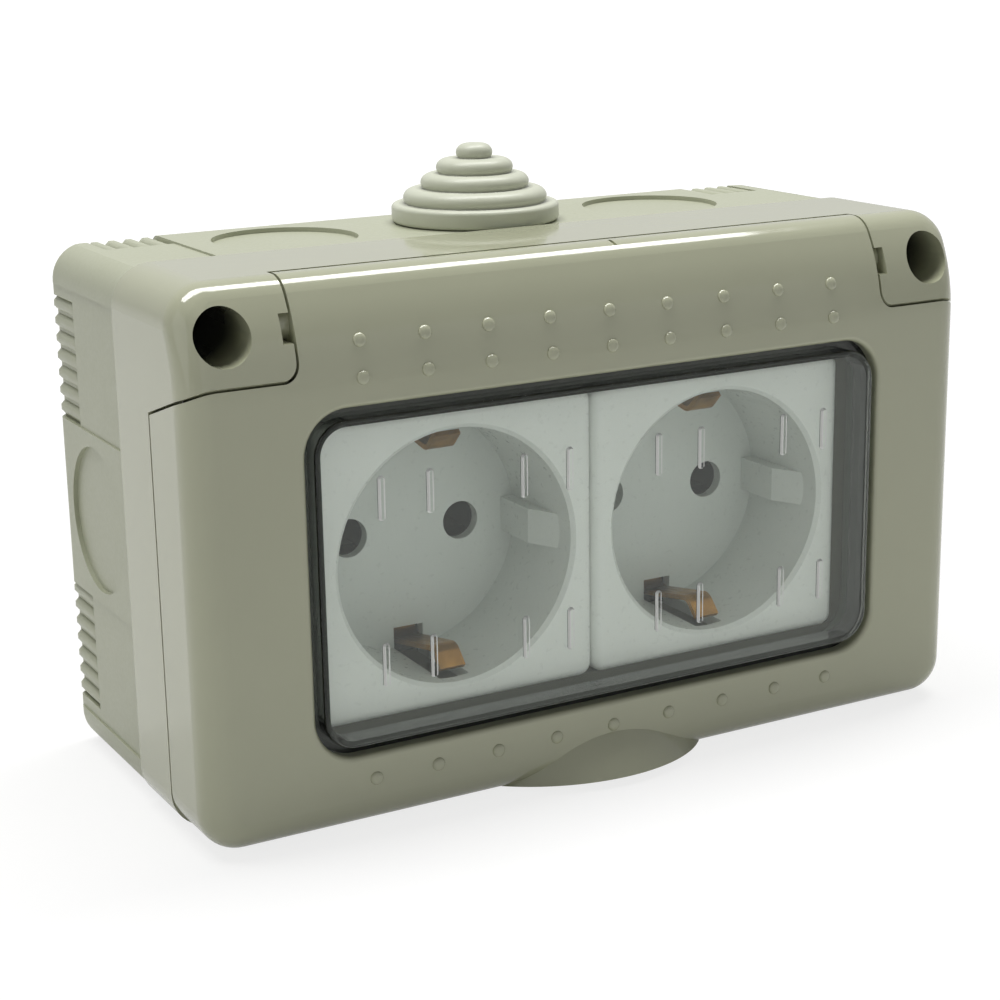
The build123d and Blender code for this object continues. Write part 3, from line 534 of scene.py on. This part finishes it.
def half_round_bars(bar_x, bar_z):
    """Bars along Y at the places given. At an angle t from -90 to 90 degrees, the way along the bar goes
    with sin t to the power FLATNESS, and the radius is FLUTE_RADIUS times cos t to that power."""
    t = np.linspace(-math.pi / 2, math.pi / 2, FLUTE_ROWS)[None, :, None]
    turn = np.linspace(0, 2 * math.pi, FLUTE_TURNS, endpoint=False)[None, None, :]
    reach = np.sign(np.sin(t)) * np.abs(np.sin(t)) ** FLATNESS
    swell = FLUTE_RADIUS * np.clip(np.cos(t), 0, 1) ** FLATNESS
    x = bar_x[:, None, None] + swell * np.cos(turn)
    y = -(FLUTE_REAR + FLUTE_FRONT) / 2 - (FLUTE_FRONT - FLUTE_REAR) / 2 * reach
    z = bar_z[:, None, None] + swell * np.sin(turn)
    return np.stack(np.broadcast_arrays(x, y, z), -1)


box_low, box_high = (np.array(corner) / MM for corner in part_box("back_box"))
depth_in = RELIEF + FLUTE_RADIUS
side_walls, top_walls = ((box_low[i] + depth_in, box_high[i] - depth_in) for i in (0, 2))
side_rows = SIDE_START + FLUTE_PITCH * (np.arange(SIDE_FLUTES) + 0.5)
top_rows = TOP_START + FLUTE_PITCH * (np.arange(TOP_FLUTES) + 0.5)
side_x, side_z = np.meshgrid(side_walls, np.concatenate([-side_rows, side_rows]))
top_x, top_z = np.meshgrid(np.concatenate([-top_rows, top_rows]), top_walls)
bars = half_round_bars(np.concatenate([side_x.ravel(), top_x.ravel()]),
                       np.concatenate([side_z.ravel(), top_z.ravel()]))
closed_grids("grip_flutes", bars * MM, "box_plastic", "housing")

# %% [markdown]
# Rows of small raised dots decorate the flap. On the product they are drops in the mould, so each is
# half an ellipsoid that stands square to the surface. The upper rows lean back with the curved brow,
# which is an arc in side view.

# %% Moulded dots
DOT_RADIUS, DOT_HEIGHT, DOT_ROOT = 1.0, 0.58, 0.2
DOT_PITCH, DOTS_EACH_WAY, DOT_LEVELS = 10.0, 4, (31.3, 26.2, -32.3)
BROW_RADIUS, BROW_START, FRONT = 26.0, 24.5, 57.0
DOT_ROWS, DOT_TURNS = 10, 28
ACROSS = np.array((1.0, 0.0, 0.0))


def half_ellipsoids(feet, out, up):
    """Domes on the feet: at an angle t from the tip, DOT_RADIUS sin t wide and DOT_HEIGHT cos t high, closed
    by a point that lies DOT_ROOT under the surface."""
    t = np.concatenate([[0.0], np.linspace(math.pi / 2, 0, DOT_ROWS)])[:, None, None]
    rise = DOT_HEIGHT * np.cos(t)
    rise[0] = -DOT_ROOT
    turn = np.linspace(0, 2 * math.pi, DOT_TURNS, endpoint=False)[None, :, None]
    round_foot = np.cos(turn) * ACROSS + np.sin(turn) * up
    return feet + DOT_RADIUS * np.sin(t) * round_foot + rise * out


dot_x, dot_z = np.meshgrid(DOT_PITCH * np.arange(-DOTS_EACH_WAY, DOTS_EACH_WAY + 1), DOT_LEVELS)
lean = np.arcsin(np.maximum(dot_z - BROW_START, 0) / BROW_RADIUS).ravel()
zero = np.zeros_like(lean)
dot_y = BROW_RADIUS - FRONT - BROW_RADIUS * np.cos(lean)
feet = np.stack([dot_x.ravel(), dot_y, dot_z.ravel()], -1)[:, None, None]
out = np.stack([zero, -np.cos(lean), np.sin(lean)], -1)[:, None, None]
up = np.stack([zero, np.sin(lean), np.cos(lean)], -1)[:, None, None]
closed_grids("moulded_dots", half_ellipsoids(feet, out, up) * MM, "cover_plastic", "cover_flap")

# %% [markdown]
# The stage is a pale floor that keeps a soft shadow, and a white world. The camera sees both white.
# Mirrored and refracted rays see them less white, so that gloss and glass show the backdrop and no veil
# lies over what is behind the pane. All other rays find a matt floor and a dim world, because the lamps
# light the object. Close to the object part of the floor stays matt for the camera too, which shows the
# shadow.

# %% Floor
FLOOR_HALF_M, SHADOW_NEAR_M, SHADOW_FAR_M, NEAR_WHITE = 8.0, 0.08, 0.3, 0.7
PAPER_DARK, PAPER_LIGHT, PAPER_BLOTCH_MM, PAPER_GLOW = "#DDDDDB", "#E1E1DF", 40, 1.12
MIRRORED, THROUGH_PANE = 0.6, 0.85


def whiteness(tree):
    """How white the surroundings are for a ray: 1 for the camera, less if mirrored or refracted, else 0."""
    rays = add(tree, "LightPath").outputs
    mirrored = add(tree, "Math", {0: rays["Is Glossy Ray"], 1: MIRRORED}, operation="MULTIPLY")
    through = add(tree, "Math", {0: rays["Is Transmission Ray"], 1: THROUGH_PANE}, operation="MULTIPLY")
    turned = add(tree, "Math", {0: mirrored, 1: through}, operation="MAXIMUM")
    return add(tree, "Math", {0: rays["Is Camera Ray"], 1: turned}, operation="MAXIMUM")


def white_paper():
    material, tree, place = start_material("paper_white")
    fibre = add(tree, "TexNoise", {"Vector": place, "Scale": blotch_scale(PAPER_BLOTCH_MM), "Detail": 2.0})
    colour = add(tree, "Mix", {0: fibre, 6: linear(PAPER_DARK), 7: linear(PAPER_LIGHT)}, data_type="RGBA")
    matt = add(tree, "BsdfDiffuse", {"Color": colour})
    bright = add(tree, "Emission", {"Strength": PAPER_GLOW})
    away = add(tree, "VectorMath", {0: place}, operation="LENGTH")
    white = add(tree, "MapRange", {"Value": away, "From Min": SHADOW_NEAR_M, "From Max": SHADOW_FAR_M,
                                   "To Min": NEAR_WHITE, "To Max": 1.0}, interpolation_type="SMOOTHSTEP")
    share = add(tree, "Math", {0: whiteness(tree), 1: white}, operation="MULTIPLY")
    return close_material(material, add(tree, "MixShader", {0: share, 1: matt, 2: bright}))


floor_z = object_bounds()[0].z
floor_mesh = bpy.data.meshes.new("floor")
corners = np.array([(-1, -1), (1, -1), (1, 1), (-1, 1)]) * FLOOR_HALF_M
floor_mesh.from_pydata([(*c, floor_z) for c in corners], [], [(0, 1, 2, 3)])
floor_mesh.materials.append(white_paper())
floor = bpy.data.objects.new("floor", floor_mesh)
bpy.context.scene.collection.objects.link(floor)
print("floor level in mm:", round(floor_z / MM, 2))

# %% [markdown]
# The world follows the same rule as the floor, at about the same level, so that no horizon shows in the
# gloss. A little ambient light stands for the rest of the room.

# %% World
AMBIENT = 0.15
world = bpy.data.worlds.new("studio")
bpy.context.scene.world = world
world.use_nodes = True
sky_tree = world.node_tree
sky_tree.nodes.clear()
light = add(sky_tree, "Math", {0: whiteness(sky_tree), 1: AMBIENT}, operation="MAXIMUM")
sky = add(sky_tree, "Background", {"Color": linear("#FFFFFF"), "Strength": light})
add(sky_tree, "OutputWorld", {"Surface": sky})
print("world nodes:", len(sky_tree.nodes), "ambient light:", AMBIENT)

# %% [markdown]
# Soft boxes light the object. A wide one overhead gives the bright top and the highlight along the
# front roll, one fills the left side and a weak one the front. Each is turned so that its long side
# runs with the front of the object.

# %% Lamps
LIT_POINT = Vector((0, -0.03, 0))


def soft_box(name, place, size, power):
    """A rectangular area lamp that faces the object, with its width as near to X as it can be."""
    data = bpy.data.lights.new(name, "AREA")
    data.shape = "RECTANGLE"
    data.size, data.size_y = size
    data.energy = power
    lamp = bpy.data.objects.new(name, data)
    look = (LIT_POINT - Vector(place)).normalized()
    across = (Vector((1, 0, 0)) - look * look.x).normalized()
    turned = Matrix((across, across.cross(look), -look)).transposed()
    lamp.matrix_world = Matrix.Translation(place) @ turned.to_4x4()
    bpy.context.scene.collection.objects.link(lamp)
    print("lamp:", name, "watts:", power)


soft_box("overhead", place=(0.04, 0.1, 0.84), size=(1.1, 0.28), power=10.2)
soft_box("left_fill", place=(-0.8, -0.15, 0.3), size=(0.6, 0.6), power=0.6)
soft_box("front_fill", place=(0.1, -1.2, 0.12), size=(1.6, 0.8), power=1.1)

# %% [markdown]
# The camera stands where the photograph's did, a little above the socket and to its left. It looks
# along its yaw and pitch and leans by a degree.

# %% Camera
CAMERA_PLACE_MM = np.array((-161.1, -312.5, 86.0))
YAW_DEG, PITCH_DEG, ROLL_DEG = 29.06, 15.33, -0.94
LENS_MM, SENSOR_MM = 76.33, 36.0
camera_data = bpy.data.cameras.new("camera")
camera_data.lens, camera_data.sensor_width, camera_data.sensor_fit = LENS_MM, SENSOR_MM, "HORIZONTAL"
camera = bpy.data.objects.new("camera", camera_data)
bpy.context.scene.collection.objects.link(camera)
aim = Euler((math.radians(90 - PITCH_DEG), 0, -math.radians(YAW_DEG))).to_matrix()
aim = aim @ Matrix.Rotation(math.radians(ROLL_DEG), 3, "Z")
camera.matrix_world = Matrix.Translation(CAMERA_PLACE_MM * MM) @ aim.to_4x4()
bpy.context.scene.camera = camera
bpy.context.scene.view_settings.view_transform = "Standard"
print("camera at mm:", CAMERA_PLACE_MM.tolist(), "lens in mm:", LENS_MM)
